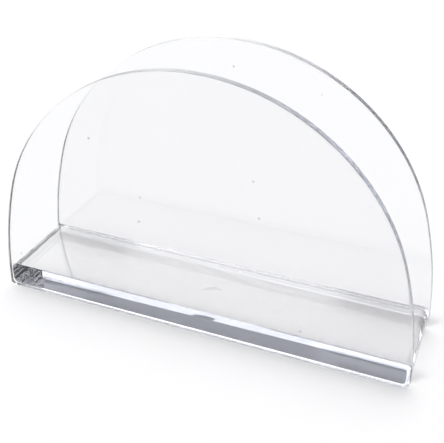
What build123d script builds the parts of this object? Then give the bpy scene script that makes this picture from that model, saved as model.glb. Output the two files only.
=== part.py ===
from build123d import *

import math
import os

# Clear napkin holder: two half-moon panels stand on the table, one along each
# long side of a solid base block, and a cured adhesive film bonds each panel to
# the block. Napkins stand on the block, between the panels.
#
# Frame: millimetres, +Z up, +X along the length, +Y from the front panel to the
# rear panel. The origin is the centre of the footprint, on the table.

# Driving dimensions
LENGTH = 150.0
HEIGHT = 94.0
DEPTH = 37.2
PANEL_THICKNESS = 3.0
CROWN_RADIUS = 71.7
BLOCK_HEIGHT = 8.7

# Details
PANEL_EDGE_RADIUS = 0.5
PANEL_FOOT_RADIUS = 1.5
FILM_THICKNESS = 0.15
BLOCK_END_SETBACK = 0.3
BLOCK_TOP_END_RADIUS = 3.0
BLOCK_BOTTOM_END_RADIUS = 2.5
FILM_SETBACK = 0.5
GATE_DIMPLE_DIAMETER = 9.2
GATE_DIMPLE_DEPTH = 0.3

# Worked out from the driving dimensions
HALF_LENGTH = LENGTH / 2
BLOCK_WIDTH = DEPTH - 2 * (PANEL_THICKNESS + FILM_THICKNESS)
BLOCK_LENGTH = LENGTH - 2 * BLOCK_END_SETBACK
PANEL_Y = (DEPTH - PANEL_THICKNESS) / 2
FILM_Y = (BLOCK_WIDTH + FILM_THICKNESS) / 2


def half_moon():
    """Three-centred arch on a straight foot, upright at both ends of the foot.

    The crown arc and the two side arcs share a tangent where they meet, which
    fixes the radius of the side arcs.
    """
    crown_centre_z = HEIGHT - CROWN_RADIUS
    spread = HALF_LENGTH - CROWN_RADIUS
    side_radius = (HALF_LENGTH**2 + crown_centre_z**2 - CROWN_RADIUS**2) / (2 * spread)
    side_centre_x = side_radius - HALF_LENGTH
    join_angle = math.degrees(math.atan2(crown_centre_z, side_centre_x))
    right_side = CenterArc((-side_centre_x, 0), side_radius, 0, join_angle)
    crown = CenterArc((0, crown_centre_z), CROWN_RADIUS, join_angle, 180 - 2 * join_angle)
    left_side = CenterArc((side_centre_x, 0), side_radius, 180 - join_angle, join_angle)
    foot = Line((-HALF_LENGTH, 0), (HALF_LENGTH, 0))
    outline = make_face([right_side, crown, left_side, foot])
    foot_corners = outline.vertices().sort_by(Axis.Y)[:2]
    return fillet(foot_corners, PANEL_FOOT_RADIUS)


def upright_plate(outline, thickness, centre_y):
    """Extrude an outline drawn in X and Z to a plate centred on centre_y."""
    flat = Plane.XZ * outline
    plate = extrude(flat, amount=thickness / 2, both=True)
    return Pos(0, centre_y, 0) * plate


def panel(centre_y):
    """Half-moon panel with the rim of both faces rounded."""
    plate = upright_plate(half_moon(), PANEL_THICKNESS, centre_y)
    faces_by_depth = plate.faces().sort_by(Axis.Y)
    rims = faces_by_depth[0].edges() + faces_by_depth[-1].edges()
    return fillet(rims, PANEL_EDGE_RADIUS)


def block_side(length, low, top_radius, bottom_radius):
    """Side view of the block from low up to its top, with rounded ends."""
    height = BLOCK_HEIGHT - low
    middle = low + height / 2
    side = Pos(0, middle) * Rectangle(length, height)
    corners = side.vertices().sort_by(Axis.Y)
    side = fillet(corners[2:], top_radius)
    corners = side.vertices().sort_by(Axis.Y)
    return fillet(corners[:2], bottom_radius)


def base_block():
    """Solid block with rounded ends and a moulding dimple under its centre."""
    side = block_side(BLOCK_LENGTH, 0, BLOCK_TOP_END_RADIUS, BLOCK_BOTTOM_END_RADIUS)
    block = upright_plate(side, BLOCK_WIDTH, 0)
    half_width = GATE_DIMPLE_DIAMETER / 2
    ball_radius = (half_width**2 + GATE_DIMPLE_DEPTH**2) / (2 * GATE_DIMPLE_DEPTH)
    dimple = Pos(0, 0, GATE_DIMPLE_DEPTH - ball_radius) * Sphere(ball_radius)
    return block - dimple


def bond_film(centre_y):
    """Cured adhesive between the flat of a panel and the side of the block."""
    length = BLOCK_LENGTH - 2 * FILM_SETBACK
    top_radius = BLOCK_TOP_END_RADIUS - FILM_SETBACK / 2
    side = block_side(length, FILM_SETBACK, top_radius, BLOCK_BOTTOM_END_RADIUS)
    return upright_plate(side, FILM_THICKNESS, centre_y)


NODES = {
    "front_panel": panel(-PANEL_Y),
    "rear_panel": panel(PANEL_Y),
    "base_block": base_block(),
    "front_bond_film": bond_film(-FILM_Y),
    "rear_bond_film": bond_film(FILM_Y),
}

os.makedirs("parts", exist_ok=True)
for name, shape in NODES.items():
    shape.label = name
    export_step(shape, f"parts/{name}.step")
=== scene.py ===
import math

import bpy
from mathutils import Matrix, Vector
from mathutils.geometry import tessellate_polygon


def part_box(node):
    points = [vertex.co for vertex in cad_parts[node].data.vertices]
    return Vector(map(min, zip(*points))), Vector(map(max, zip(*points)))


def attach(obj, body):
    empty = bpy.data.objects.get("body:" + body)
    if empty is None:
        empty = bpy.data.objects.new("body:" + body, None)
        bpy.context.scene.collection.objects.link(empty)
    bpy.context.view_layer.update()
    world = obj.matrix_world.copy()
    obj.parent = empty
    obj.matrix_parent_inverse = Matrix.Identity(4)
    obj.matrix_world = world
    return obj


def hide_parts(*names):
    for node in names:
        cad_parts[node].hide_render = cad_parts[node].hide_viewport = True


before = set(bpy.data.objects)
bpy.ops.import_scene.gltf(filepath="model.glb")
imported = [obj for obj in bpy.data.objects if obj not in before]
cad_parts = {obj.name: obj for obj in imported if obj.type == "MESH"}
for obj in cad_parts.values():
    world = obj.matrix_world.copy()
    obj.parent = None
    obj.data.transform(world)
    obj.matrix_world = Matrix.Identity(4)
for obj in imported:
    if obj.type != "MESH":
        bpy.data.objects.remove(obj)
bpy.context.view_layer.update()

# ---------------------------------------------------------------- sizes, in metres

MM = 0.001
CROWN_RADIUS = 71.7 * MM
PANEL_EDGE_RADIUS = 0.5 * MM
PANEL_FOOT_RADIUS = 1.5 * MM
BLOCK_TOP_END_RADIUS = 3.0 * MM
BLOCK_BOTTOM_END_RADIUS = 2.5 * MM
FILM_TOP_END_RADIUS = 2.75 * MM
DIMPLE_DIAMETER = 9.2 * MM
DIMPLE_DEPTH = 0.3 * MM
FILM_CLEARANCE = 0.004 * MM
ARC_STEP = 1.2 * MM
RIM_SEGMENTS = 10
CORNER_STEP = 0.15 * MM


# ---------------------------------------------------------------- mesh helpers

def new_mesh(name, points, faces):
    """Object from points and faces. A face is (point indices, one surface normal for each of them)."""
    mesh = bpy.data.meshes.new(name)
    mesh.from_pydata(points, [], [indices for indices, normals in faces])
    for polygon in mesh.polygons:
        polygon.use_smooth = True
    mesh.normals_split_custom_set([normal for indices, normals in faces for normal in normals])
    mesh.update()
    piece = bpy.data.objects.new(name, mesh)
    bpy.context.scene.collection.objects.link(piece)
    return piece


def arc_points(centre, radius, start, end, step):
    """Points and outward normals along an arc, both ends included. Angles are in radians."""
    count = max(4, math.ceil(abs(end - start) * radius / step))
    result = []
    for i in range(count + 1):
        angle = start + (end - start) * i / count
        normal = (math.cos(angle), math.sin(angle))
        point = (centre[0] + radius * normal[0], centre[1] + radius * normal[1])
        result.append((point, normal))
    return result


def mirrored_outline(right):
    """Whole outline from its right half, which runs from the foot to the top."""
    shared_top = 1 if right[-1][0][0] == 0 else 0
    left = [((-x, z), (-nx, nz)) for (x, z), (nx, nz) in reversed(right[: len(right) - shared_top])]
    return right + left


def ladder(count, first, flip, normal):
    """Flat face over a mirrored outline of count points, as rungs that join its two halves."""
    faces = []
    low, high = 0, count - 1
    while low + 1 < high:
        corners = [low, low + 1, high - 1, high]
        if low + 1 == high - 1:
            corners = [low, low + 1, high]
        if flip:
            corners.reverse()
        faces.append(([first + c for c in corners], [normal] * len(corners)))
        low += 1
        high -= 1
    return faces


# ---------------------------------------------------------------- panels

def half_moon_right(half_length, height):
    """Right half of a panel's outline, from the end of the flat foot to the top of the crown."""
    crown_z = height - CROWN_RADIUS
    spread = half_length - CROWN_RADIUS
    side_radius = (half_length**2 + crown_z**2 - CROWN_RADIUS**2) / (2 * spread)
    side_x = half_length - side_radius
    join = math.atan2(crown_z, -side_x)
    foot_z = PANEL_FOOT_RADIUS
    foot_x = side_x + math.sqrt((side_radius - foot_z) ** 2 - foot_z**2)
    foot_end = math.atan2(foot_z, foot_x - side_x)
    foot = arc_points((foot_x, foot_z), foot_z, -math.pi / 2, foot_end, CORNER_STEP)
    side = arc_points((side_x, 0), side_radius, foot_end, join, ARC_STEP)
    crown = arc_points((0, crown_z), CROWN_RADIUS, join, math.pi / 2, ARC_STEP)
    crown[-1] = ((0, height), (0, 1))
    return foot + side[1:] + crown[1:]


def rim_profile(thickness, radius):
    """Steps over a rounded rim, from one face to the other: (inset, depth, outward share, depth share)."""
    steps = []
    for i in range(RIM_SEGMENTS + 1):
        angle = math.pi / 2 * i / RIM_SEGMENTS
        inset = radius * (1 - math.sin(angle))
        depth = radius * (1 - math.cos(angle))
        steps.append((inset, depth, math.sin(angle), -math.cos(angle)))
    back = [(inset, thickness - depth, out, -share) for inset, depth, out, share in reversed(steps)]
    return steps + back


def build_panel(name, node):
    """Half-moon panel with rounded rims, made as rings that run round the outline."""
    low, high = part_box(node)
    outline = mirrored_outline(half_moon_right((high.x - low.x) / 2, high.z))
    profile = rim_profile(high.y - low.y, PANEL_EDGE_RADIUS)
    points, normals = [], []
    for inset, depth, out, share in profile:
        for (x, z), (nx, nz) in outline:
            points.append((x - nx * inset, low.y + depth, z - nz * inset))
            normals.append((nx * out, share, nz * out))
    count = len(outline)
    faces = []
    for ring in range(len(profile) - 1):
        for i in range(count):
            a = ring * count + i
            b = ring * count + (i + 1) % count
            corners = [a, a + count, b + count, b]
            faces.append((corners, [normals[c] for c in corners]))
    faces += ladder(count, 0, False, (0, -1, 0))
    faces += ladder(count, len(points) - count, True, (0, 1, 0))
    return new_mesh(name, points, faces)


# ---------------------------------------------------------------- base block and bond films

def block_side_right(half_length, low, high, top_radius):
    """Right half of the block's side view, from the end of its flat underside to its flat top."""
    bottom_radius = BLOCK_BOTTOM_END_RADIUS
    bottom_centre = (half_length - bottom_radius, low + bottom_radius)
    top_centre = (half_length - top_radius, high - top_radius)
    bottom = arc_points(bottom_centre, bottom_radius, -math.pi / 2, 0, CORNER_STEP)
    top = arc_points(top_centre, top_radius, 0, math.pi / 2, CORNER_STEP)
    return bottom + top


def bar_faces(outline, count):
    """Sides of a bar between two rings of an outline, without its underside, and its two ends."""
    faces = []
    for i in range(count - 1):
        (nx, nz), (mx, mz) = outline[i][1], outline[i + 1][1]
        corners = [i, i + count, i + 1 + count, i + 1]
        near, far = (nx, 0, nz), (mx, 0, mz)
        faces.append((corners, [near, near, far, far]))
    faces += ladder(count, 0, False, (0, -1, 0))
    faces += ladder(count, count, True, (0, 1, 0))
    return faces


def bar_points(outline, low_y, high_y):
    """The outline at both ends of the bar, near end first."""
    return [(x, y, z) for y in (low_y, high_y) for (x, z), normal in outline]


def build_film(name, node):
    """Cured adhesive film, a hair thinner than its gap so that no two surfaces coincide."""
    low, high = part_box(node)
    outline = mirrored_outline(block_side_right(high.x, low.z, high.z, FILM_TOP_END_RADIUS))
    count = len(outline)
    points = bar_points(outline, low.y + FILM_CLEARANCE, high.y - FILM_CLEARANCE)
    faces = bar_faces(outline, count)
    faces.append(([count - 1, 2 * count - 1, count, 0], [(0, 0, -1)] * 4))
    return new_mesh(name, points, faces)


def dimple_rings(centre_index):
    """Shallow spherical dimple in the underside: rings of points with normals, from the rim inwards."""
    radius = DIMPLE_DIAMETER / 2
    ball = (radius**2 + DIMPLE_DEPTH**2) / (2 * DIMPLE_DEPTH)
    sides, steps = 64, 8
    points, normals, faces = [], [], []
    for step in range(steps):
        r = radius * (1 - step / steps)
        z = math.sqrt(ball**2 - r**2) - (ball - DIMPLE_DEPTH)
        for i in range(sides):
            x, y = r * math.cos(math.tau * i / sides), r * math.sin(math.tau * i / sides)
            points.append((x, y, z))
            normals.append((-x / ball, -y / ball, -(z + ball - DIMPLE_DEPTH) / ball))
    points.append((0, 0, DIMPLE_DEPTH))
    normals.append((0, 0, -1))
    for step in range(steps):
        for i in range(sides):
            j = (i + 1) % sides
            if step + 1 < steps:
                corners = [step * sides + i, (step + 1) * sides + i, (step + 1) * sides + j, step * sides + j]
            else:
                corners = [step * sides + i, steps * sides, step * sides + j]
            faces.append(([centre_index + c for c in corners], [normals[c] for c in corners]))
    return points, faces, sides


def build_block(name, node):
    """Solid base block with rounded ends and a shallow moulding dimple under its centre."""
    low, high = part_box(node)
    outline = mirrored_outline(block_side_right(high.x, low.z, high.z, BLOCK_TOP_END_RADIUS))
    count = len(outline)
    points = bar_points(outline, low.y, high.y)
    faces = bar_faces(outline, count)
    rim, dimple_faces, sides = dimple_rings(len(points))
    underside = [count - 1, 0, count, 2 * count - 1]
    hole = [len(points) + i for i in range(sides)]
    points += rim
    loops = [[Vector(points[i]) for i in loop] for loop in (underside, hole)]
    flat = underside + hole
    for triangle in tessellate_polygon(loops):
        corners = [flat[i] for i in triangle]
        a, b, c = (Vector(points[i]) for i in corners)
        if (b - a).cross(c - a).z > 0:
            corners.reverse()
        faces.append((corners, [(0, 0, -1)] * 3))
    return new_mesh(name, points, faces + dimple_faces)


# ---------------------------------------------------------------- materials

PANEL_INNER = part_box("rear_panel")[0].y
BLOCK_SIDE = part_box("base_block")[1].y
BOND_LOW, BOND_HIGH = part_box("front_bond_film")
MASK_CLEARANCE = 0.01 * MM
FACES_SIDEWAYS = 0.99
PLANE_TOLERANCE = 0.2 * MM
ACRYLIC_IOR = 1.49
PANEL_COLOR = (0.955, 0.955, 0.959, 1)
# Block tint: partly the thick acrylic's own colour, partly painted shade on the table seen beneath the block;
# the films share it
BLOCK_TINT_AND_SHADE = (0.75, 0.75, 0.757, 1)
SPECK_COLOR = (0.45, 0.45, 0.47, 1)
SPECKS_PER_METRE = 75
SPECK_EDGE, SPECK_CORE = 0.05, 0.02
ABSORPTION_COLOR = (0.865, 0.865, 0.87, 1)
ABSORPTION_DENSITY = 20
RIM_ROUGHNESS = 0.22
RIM_START, RIM_END = 0.97, 0.6
SMUDGE_ROUGHNESS = 0.015
SCRATCH_ROUGHNESS = 0.12
WAVE_HEIGHT = 0.008 * MM
SAW_PITCH = 1.9 * MM
SAW_DEPTH = 0.22 * MM
SAW_WAVER = 4
SAWN_END = 2 * MM
SEAM_LINE = 0.35 * MM
SEAM_GAP_X = 8 * MM
SEAM_GAP_START, SEAM_GAP_END = 16 * MM, 20 * MM
BUBBLE_DEPTH = 1.6 * MM
BUBBLES_PER_METRE = 750
BUBBLES_END_LOW, BUBBLES_END_HIGH = -72 * MM, -44 * MM
MIDDLE_END, MIDDLE_START = 48 * MM, 38 * MM
# Front bond tints: partly the bond's own tint, partly painted shade for the shadowed table behind the holder
# seen through it; darker in the middle, where the rear shadow is lighter
FRONT_END_TINT_AND_SHADE = (0.832, 0.839, 0.858, 1)
FRONT_MIDDLE_TINT_AND_SHADE = (0.788, 0.795, 0.815, 1)
REAR_BOND_TINT = (0.99, 0.99, 0.992, 1)
REAR_HAZE_TINT = (0.86, 0.862, 0.87, 1)
HAZE_DEPTH = 1.5 * MM
GROOVE_SIZE = 0.5 * MM
SEAM_LINE_TINT = (0.66, 0.66, 0.68, 1)
FACE_SHADOW = (0.995, 0.995, 0.995, 1)
FRONT_BOND_SHADOW = (0.72, 0.72, 0.73, 1)
REAR_END_SHADOW = (0.6, 0.6, 0.62, 1)
REAR_MIDDLE_SHADOW = (0.93, 0.93, 0.935, 1)


class Graph:
    """Short way to add shader nodes and link them."""

    def __init__(self, tree):
        self.nodes, self.links = tree.nodes, tree.links

    def feed(self, socket, value):
        if isinstance(value, bpy.types.NodeSocket):
            self.links.new(value, socket)
        else:
            socket.default_value = value

    def add(self, kind, inputs, **settings):
        node = self.nodes.new(kind)
        for name, value in settings.items():
            setattr(node, name, value)
        for key, value in inputs.items():
            self.feed(node.inputs[key], value)
        return node

    def math(self, operation, *values):
        return self.add("ShaderNodeMath", dict(enumerate(values)), operation=operation).outputs[0]

    def product(self, first, *others):
        for other in others:
            first = self.math("MULTIPLY", first, other)
        return first

    def ramp(self, value, start, end, low=0, high=1):
        """Smooth step of value from low to high while it goes from start to end."""
        inputs = {"Value": value, "From Min": start, "From Max": end, "To Min": low, "To Max": high}
        return self.add("ShaderNodeMapRange", inputs, interpolation_type="SMOOTHSTEP").outputs[0]

    def noise(self, place, scale, detail=3, stretch=(1, 1, 1)):
        drawn = self.add("ShaderNodeVectorMath", {0: place, 1: stretch}, operation="MULTIPLY").outputs[0]
        return self.add("ShaderNodeTexNoise", {"Vector": drawn, "Scale": scale, "Detail": detail}).outputs[0]

    def cells(self, place, scale):
        """Distance to the middle of the nearest of many scattered cells, in cell widths."""
        return self.add("ShaderNodeTexVoronoi", {"Vector": place, "Scale": scale}).outputs["Distance"]

    def mix_color(self, share, first, second):
        node = self.add("ShaderNodeMix", {}, data_type="RGBA")
        for key, value in (("Factor_Float", share), ("A_Color", first), ("B_Color", second)):
            self.feed(next(s for s in node.inputs if s.identifier == key), value)
        return next(s for s in node.outputs if s.identifier == "Result_Color")

    def mix_shader(self, share, first, second):
        return self.add("ShaderNodeMixShader", {0: share, 1: first, 2: second}).outputs[0]

    def transparent(self, color):
        return self.add("ShaderNodeBsdfTransparent", {"Color": color}).outputs[0]


def bond_mask(graph, plane, place, x, y, z):
    """One where a face lies on a bond plane inside the film's outline, and zero elsewhere and in bubbles."""
    normal = graph.add("ShaderNodeNewGeometry", {}).outputs["True Normal"]
    normal_y = graph.add("ShaderNodeSeparateXYZ", {0: normal}).outputs["Y"]
    inside = graph.product(
        graph.math("COMPARE", graph.math("ABSOLUTE", y), plane, PLANE_TOLERANCE),
        graph.math("LESS_THAN", z, BOND_HIGH.z - MASK_CLEARANCE),
        graph.math("LESS_THAN", graph.math("ABSOLUTE", x), BOND_HIGH.x),
        graph.math("GREATER_THAN", graph.math("ABSOLUTE", normal_y), FACES_SIDEWAYS),
    )
    bubbles_end = graph.ramp(graph.noise(place, 60, 2), 0.3, 0.7, BUBBLES_END_LOW, BUBBLES_END_HIGH)
    bubbles = graph.product(
        graph.math("LESS_THAN", graph.cells(place, BUBBLES_PER_METRE), graph.noise(place, 300, 1)),
        graph.math("GREATER_THAN", z, BOND_HIGH.z - BUBBLE_DEPTH),
        graph.math("GREATER_THAN", y, 0),
        graph.math("LESS_THAN", x, bubbles_end),
    )
    return graph.math("MULTIPLY", inside, graph.math("SUBTRACT", 1, bubbles))


def panel_rim_roughness(graph):
    """Softly polished rims: zero on the flats of a panel, full on its rim."""
    normal = graph.add("ShaderNodeNewGeometry", {}).outputs["Normal"]
    facing = graph.math("ABSOLUTE", graph.add("ShaderNodeSeparateXYZ", {0: normal}).outputs["Y"])
    return graph.ramp(facing, RIM_START, RIM_END, 0, RIM_ROUGHNESS)


def saw_marks(graph, place, x, z):
    """Wavering ridges, left by a saw, along the left end of the block."""
    phase = graph.math("MULTIPLY", z, math.tau / SAW_PITCH)
    waver = graph.math("MULTIPLY", graph.noise(place, 260, 2), SAW_WAVER)
    ridges = graph.math("SINE", graph.math("ADD", phase, waver))
    return graph.product(ridges, graph.math("LESS_THAN", x, SAWN_END - BOND_HIGH.x), SAW_DEPTH)


def filled_groove(graph, plane, x, y, z):
    """One on the faces round the groove under the rear bond, which surplus adhesive has filled."""
    return graph.product(
        graph.math("COMPARE", y, plane + GROOVE_SIZE / 2, GROOVE_SIZE / 2 + MASK_CLEARANCE),
        graph.math("LESS_THAN", z, BOND_LOW.z + MASK_CLEARANCE),
        graph.math("GREATER_THAN", z, MASK_CLEARANCE),
        graph.math("LESS_THAN", graph.math("ABSOLUTE", x), BOND_HIGH.x),
    )


def bond_layers(graph, x, y, z):
    """What the bond looks like, with painted shade in the front bond's tint, and what it takes from the light
    on its way to the table.
    """
    rear = graph.math("GREATER_THAN", y, 0)
    middle = graph.ramp(graph.math("ABSOLUTE", x), MIDDLE_END, MIDDLE_START)
    # Front bond: its own tint plus painted shade, darker in the middle
    front = graph.mix_shader(middle, graph.transparent(FRONT_END_TINT_AND_SHADE), graph.transparent(FRONT_MIDDLE_TINT_AND_SHADE))
    from_gap = graph.math("ABSOLUTE", graph.math("SUBTRACT", x, SEAM_GAP_X))
    outside_gap = graph.ramp(from_gap, SEAM_GAP_START, SEAM_GAP_END)
    seam_line = graph.product(
        outside_gap,
        graph.math("GREATER_THAN", z, BOND_HIGH.z - SEAM_LINE),
        graph.math("LESS_THAN", y, 0),
    )
    haze = graph.product(
        graph.math("SUBTRACT", 1, middle),
        graph.ramp(z, BOND_HIGH.z - HAZE_DEPTH, BOND_HIGH.z),
    )
    behind = graph.mix_shader(haze, graph.transparent(REAR_BOND_TINT), graph.transparent(REAR_HAZE_TINT))
    bond = graph.mix_shader(rear, front, behind)
    bond = graph.mix_shader(seam_line, bond, graph.transparent(SEAM_LINE_TINT))
    rear_shade = graph.mix_shader(
        middle, graph.transparent(REAR_END_SHADOW), graph.transparent(REAR_MIDDLE_SHADOW)
    )
    return bond, graph.mix_shader(rear, graph.transparent(FRONT_BOND_SHADOW), rear_shade)


def clear_plastic(name, kind, plane, tint):
    """Clear plastic that light crosses straight through where it is bonded, with soft clear shadows."""
    material = bpy.data.materials.new(name)
    material.use_nodes = True
    graph = Graph(material.node_tree)
    place = graph.add("ShaderNodeTexCoord", {}).outputs["Object"]
    x, y, z = graph.add("ShaderNodeSeparateXYZ", {0: place}).outputs

    smudges = graph.ramp(graph.noise(place, 45, 4), 0.45, 0.75, 0, SMUDGE_ROUGHNESS)
    scratches = graph.ramp(graph.noise(place, 60, 2, (1, 1, 30)), 0.72, 0.8, 0, SCRATCH_ROUGHNESS)
    roughness = graph.math("MAXIMUM", smudges, scratches)
    waves = graph.math("MULTIPLY", graph.noise(place, 70, 2), WAVE_HEIGHT)
    if kind == "panel":
        roughness = graph.math("MAXIMUM", roughness, panel_rim_roughness(graph))
    if kind == "block":
        waves = graph.math("ADD", waves, saw_marks(graph, place, x, z))
    specks = graph.ramp(graph.cells(place, SPECKS_PER_METRE), SPECK_EDGE, SPECK_CORE)
    plastic = graph.nodes["Principled BSDF"]
    # For the block this tint is partly painted shade on the table seen through it
    graph.feed(plastic.inputs["Base Color"], graph.mix_color(specks, tint, SPECK_COLOR))
    graph.feed(plastic.inputs["Transmission Weight"], 1)
    graph.feed(plastic.inputs["IOR"], ACRYLIC_IOR)
    graph.feed(plastic.inputs["Roughness"], roughness)
    bump = graph.add("ShaderNodeBump", {"Height": waves, "Distance": 1})
    graph.feed(plastic.inputs["Normal"], bump.outputs[0])

    mask = bond_mask(graph, plane, place, x, y, z)
    above_groove = graph.math("GREATER_THAN", z, BOND_LOW.z)
    bonded = graph.math("MULTIPLY", mask, above_groove)
    seen_mask = graph.math("MAXIMUM", bonded, filled_groove(graph, plane, x, y, z))
    bond, bond_shade = bond_layers(graph, x, y, z)
    seen = graph.mix_shader(seen_mask, plastic.outputs[0], bond)
    shade = graph.mix_shader(mask, graph.transparent(FACE_SHADOW), bond_shade)
    ray = graph.add("ShaderNodeLightPath", {}).outputs
    lights_floor = graph.math("MAXIMUM", ray["Is Shadow Ray"], ray["Is Diffuse Ray"])
    body = {"Color": ABSORPTION_COLOR, "Density": ABSORPTION_DENSITY}
    output = graph.nodes["Material Output"]
    graph.feed(output.inputs["Surface"], graph.mix_shader(lights_floor, seen, shade))
    graph.feed(output.inputs["Volume"], graph.add("ShaderNodeVolumeAbsorption", body).outputs[0])
    return material


# ---------------------------------------------------------------- stage

# Light crosses the block and the rims many times before it leaves them
LIGHT_PIPE_BOUNCES = 96
FLOOR_CLEARANCE = 0.02 * MM
KEY_AZIMUTH, KEY_ELEVATION = -42, 43
KEY_SIZE = 18
KEY_STRENGTH = 1.4
HORIZON, ZENITH = 0.3, 0.45
BACKDROP = 1.0
CAMERA_AZIMUTH, CAMERA_ELEVATION, CAMERA_ROLL = 21.877, 30.837, 0.616
CAMERA_DISTANCE = 267.652 * MM
CAMERA_TARGET = Vector((3.061 * MM, 0, 35.304 * MM))
CAMERA_LENS = 63.43
# Soft cards on the dome: (azimuth, elevation), full out to, gone by, brightness
SOFT_CARDS = (
    ((-158, 28), 42, 62, 1.3),
    ((-158, 35), 22, 36, 3.0),
    ((105, 27), 38, 52, 0.02),
    ((-85, 22), 14, 26, 2.0),
    ((0, 25), 30, 50, 0.75),
)


def direction(azimuth, elevation):
    """Unit vector towards a place in the studio: azimuth from the front to the right, in degrees."""
    azimuth, elevation = math.radians(azimuth), math.radians(elevation)
    flat = math.cos(elevation)
    return Vector((math.sin(azimuth) * flat, -math.cos(azimuth) * flat, math.sin(elevation)))


def build_floor():
    """Plain pale paper with a faint grain."""
    bpy.ops.mesh.primitive_plane_add(size=6)
    floor = bpy.context.object
    floor.name = "floor"
    material = bpy.data.materials.new("floor_paper")
    material.use_nodes = True
    graph = Graph(material.node_tree)
    place = graph.add("ShaderNodeTexCoord", {}).outputs["Object"]
    paper = graph.nodes["Principled BSDF"]
    tone = graph.mix_color(graph.noise(place, 9, 4), (0.815, 0.815, 0.825, 1), (0.825, 0.825, 0.833, 1))
    graph.feed(paper.inputs["Base Color"], tone)
    graph.feed(paper.inputs["Roughness"], graph.ramp(graph.noise(place, 400, 3), 0.3, 0.7, 0.85, 0.95))
    graph.feed(paper.inputs["Specular IOR Level"], 0.1)
    fibres = {"Height": graph.noise(place, 1500, 4), "Strength": 0.2, "Distance": 0.004 * MM}
    graph.feed(paper.inputs["Normal"], graph.add("ShaderNodeBump", fibres).outputs[0])
    floor.data.materials.append(material)
    floor.location.z = -FLOOR_CLEARANCE


def build_world():
    """Soft dome with bright and dark cards, and a plain white backdrop where the camera sees it directly."""
    world = bpy.data.worlds.new("studio")
    bpy.context.scene.world = world
    world.use_nodes = True
    graph = Graph(world.node_tree)
    view = graph.add("ShaderNodeTexCoord", {}).outputs["Generated"]
    height = graph.add("ShaderNodeSeparateXYZ", {0: view}).outputs["Z"]
    level = graph.ramp(height, 0, 0.8, HORIZON, ZENITH)
    for place, inner, outer, brightness in SOFT_CARDS:
        aim = graph.add("ShaderNodeVectorMath", {0: view, 1: direction(*place)}, operation="DOT_PRODUCT")
        start, end = math.cos(math.radians(outer)), math.cos(math.radians(inner))
        level = graph.ramp(aim.outputs["Value"], start, end, level, brightness)
    background = graph.nodes["Background"]
    graph.feed(background.inputs["Color"], (1, 1, 1, 1))
    in_plain_view = graph.add("ShaderNodeLightPath", {}).outputs["Is Camera Ray"]
    graph.feed(background.inputs["Strength"], graph.ramp(in_plain_view, 0, 1, level, BACKDROP))


def build_key_light():
    """Large soft key light in front of the holder, a little to its left."""
    data = bpy.data.lights.new("key", "SUN")
    data.angle = math.radians(KEY_SIZE)
    data.energy = KEY_STRENGTH
    data.cycles.use_multiple_importance_sampling = False
    key = bpy.data.objects.new("key", data)
    bpy.context.scene.collection.objects.link(key)
    key.rotation_euler = direction(KEY_AZIMUTH, KEY_ELEVATION).to_track_quat("Z", "Y").to_euler()


def place_camera():
    """Camera that looks down on the holder from the front, to its right."""
    roll = math.radians(CAMERA_ROLL)
    azimuth = math.radians(CAMERA_AZIMUTH)
    back = direction(CAMERA_AZIMUTH, CAMERA_ELEVATION)
    right = Vector((math.cos(azimuth), math.sin(azimuth), 0))
    up = back.cross(right)
    tilted_right = math.cos(roll) * right + math.sin(roll) * up
    tilted_up = math.cos(roll) * up - math.sin(roll) * right
    data = bpy.data.cameras.new("camera")
    data.lens = CAMERA_LENS
    data.sensor_width = 36
    data.clip_start = 0.01
    camera = bpy.data.objects.new("camera", data)
    bpy.context.scene.collection.objects.link(camera)
    rotation = Matrix((tilted_right, tilted_up, back)).transposed()
    camera.matrix_world = Matrix.Translation(CAMERA_TARGET + CAMERA_DISTANCE * back) @ rotation.to_4x4()
    bpy.context.scene.camera = camera


for name, node, builder, slot, kind, plane, tint in (
    ("front_panel_clear", "front_panel", build_panel, "clear_panel", "panel", PANEL_INNER, PANEL_COLOR),
    ("rear_panel_clear", "rear_panel", build_panel, "clear_panel", "panel", PANEL_INNER, PANEL_COLOR),
    ("base_block_clear", "base_block", build_block, "clear_block", "block", BLOCK_SIDE, BLOCK_TINT_AND_SHADE),
    ("front_bond_clear", "front_bond_film", build_film, "bond_adhesive", "film", PANEL_INNER, BLOCK_TINT_AND_SHADE),
    ("rear_bond_clear", "rear_bond_film", build_film, "bond_adhesive", "film", PANEL_INNER, BLOCK_TINT_AND_SHADE),
):
    piece = builder(name, node)
    piece.data.materials.append(clear_plastic(name, kind, plane, tint))
    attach(piece, "root")
    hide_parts(node)

build_floor()
build_world()
build_key_light()
place_camera()

scene = bpy.context.scene
scene.view_settings.view_transform = "Standard"
for limit in ("max_bounces", "transmission_bounces", "glossy_bounces", "transparent_max_bounces"):
    setattr(scene.cycles, limit, LIGHT_PIPE_BOUNCES)
scene.cycles.diffuse_bounces = 4
scene.cycles.caustics_reflective = False
scene.cycles.caustics_refractive = False
scene.cycles.use_adaptive_sampling = False
scene.cycles.use_denoising = True
